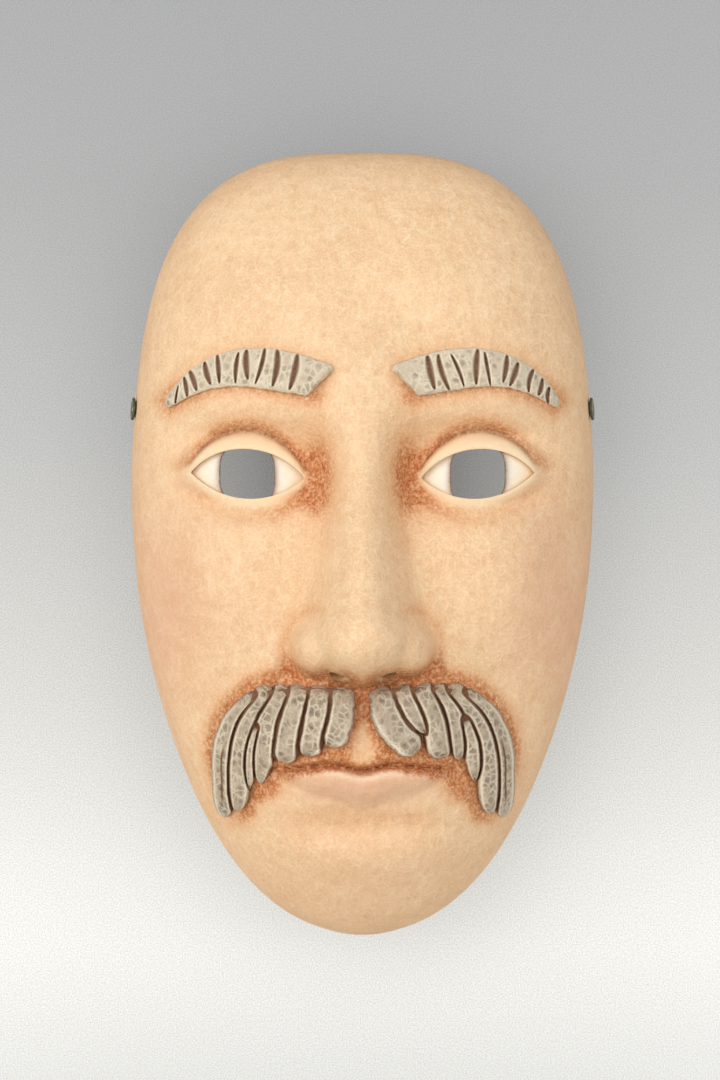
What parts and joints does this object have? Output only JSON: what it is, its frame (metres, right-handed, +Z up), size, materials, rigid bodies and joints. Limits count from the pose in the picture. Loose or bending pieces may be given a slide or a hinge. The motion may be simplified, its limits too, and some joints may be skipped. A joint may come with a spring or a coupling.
{
  "type": "noh mask",
  "caption": "Carved wooden noh-style theatre mask of an elderly man with grey brows and moustache, let-in eye plates, lined cord holes and soft pads inside.",
  "frame": {"origin": "centre of the plane of the rim's flat back edge, where the wearer's face comes in", "axes": "+X to the right as seen from in front of the face, +Y backwards towards the wearer, +Z up; the face looks along -Y"},
  "size_m": [0.1304, 0.0741, 0.22],
  "materials": {
    "skin_paint": "matt skin-coloured paint over carved cypress, stained in the hollows",
    "hair_paint": "matt grey-beige paint over carved wood, dark in the grooves",
    "eye_paint": "smooth off-white paint over carved wood",
    "eyelet_metal": "dulled grey-green",
    "pad_cloth": "matt woven cloth over a soft filling",
    "bamboo": "cut bamboo, bare"
  },
  "bodies": {
    "root": {"face_shell": "skin_paint", "brow_left": "hair_paint", "brow_right": "hair_paint", "moustache_left": "hair_paint", "moustache_right": "hair_paint", "eye_plate_left": "eye_paint", "eye_plate_right": "eye_paint", "cord_eyelet_left": "eyelet_metal", "cord_eyelet_right": "eyelet_metal", "forehead_pad": "pad_cloth", "cheek_pad_left": "pad_cloth", "cheek_pad_right": "pad_cloth", "brow_left_peg_1": "bamboo", "brow_left_peg_2": "bamboo", "brow_right_peg_1": "bamboo", "brow_right_peg_2": "bamboo", "moustache_left_peg_1": "bamboo", "moustache_left_peg_2": "bamboo", "moustache_left_peg_3": "bamboo", "moustache_right_peg_1": "bamboo", "moustache_right_peg_2": "bamboo", "moustache_right_peg_3": "bamboo"}
  },
  "joints": []
}
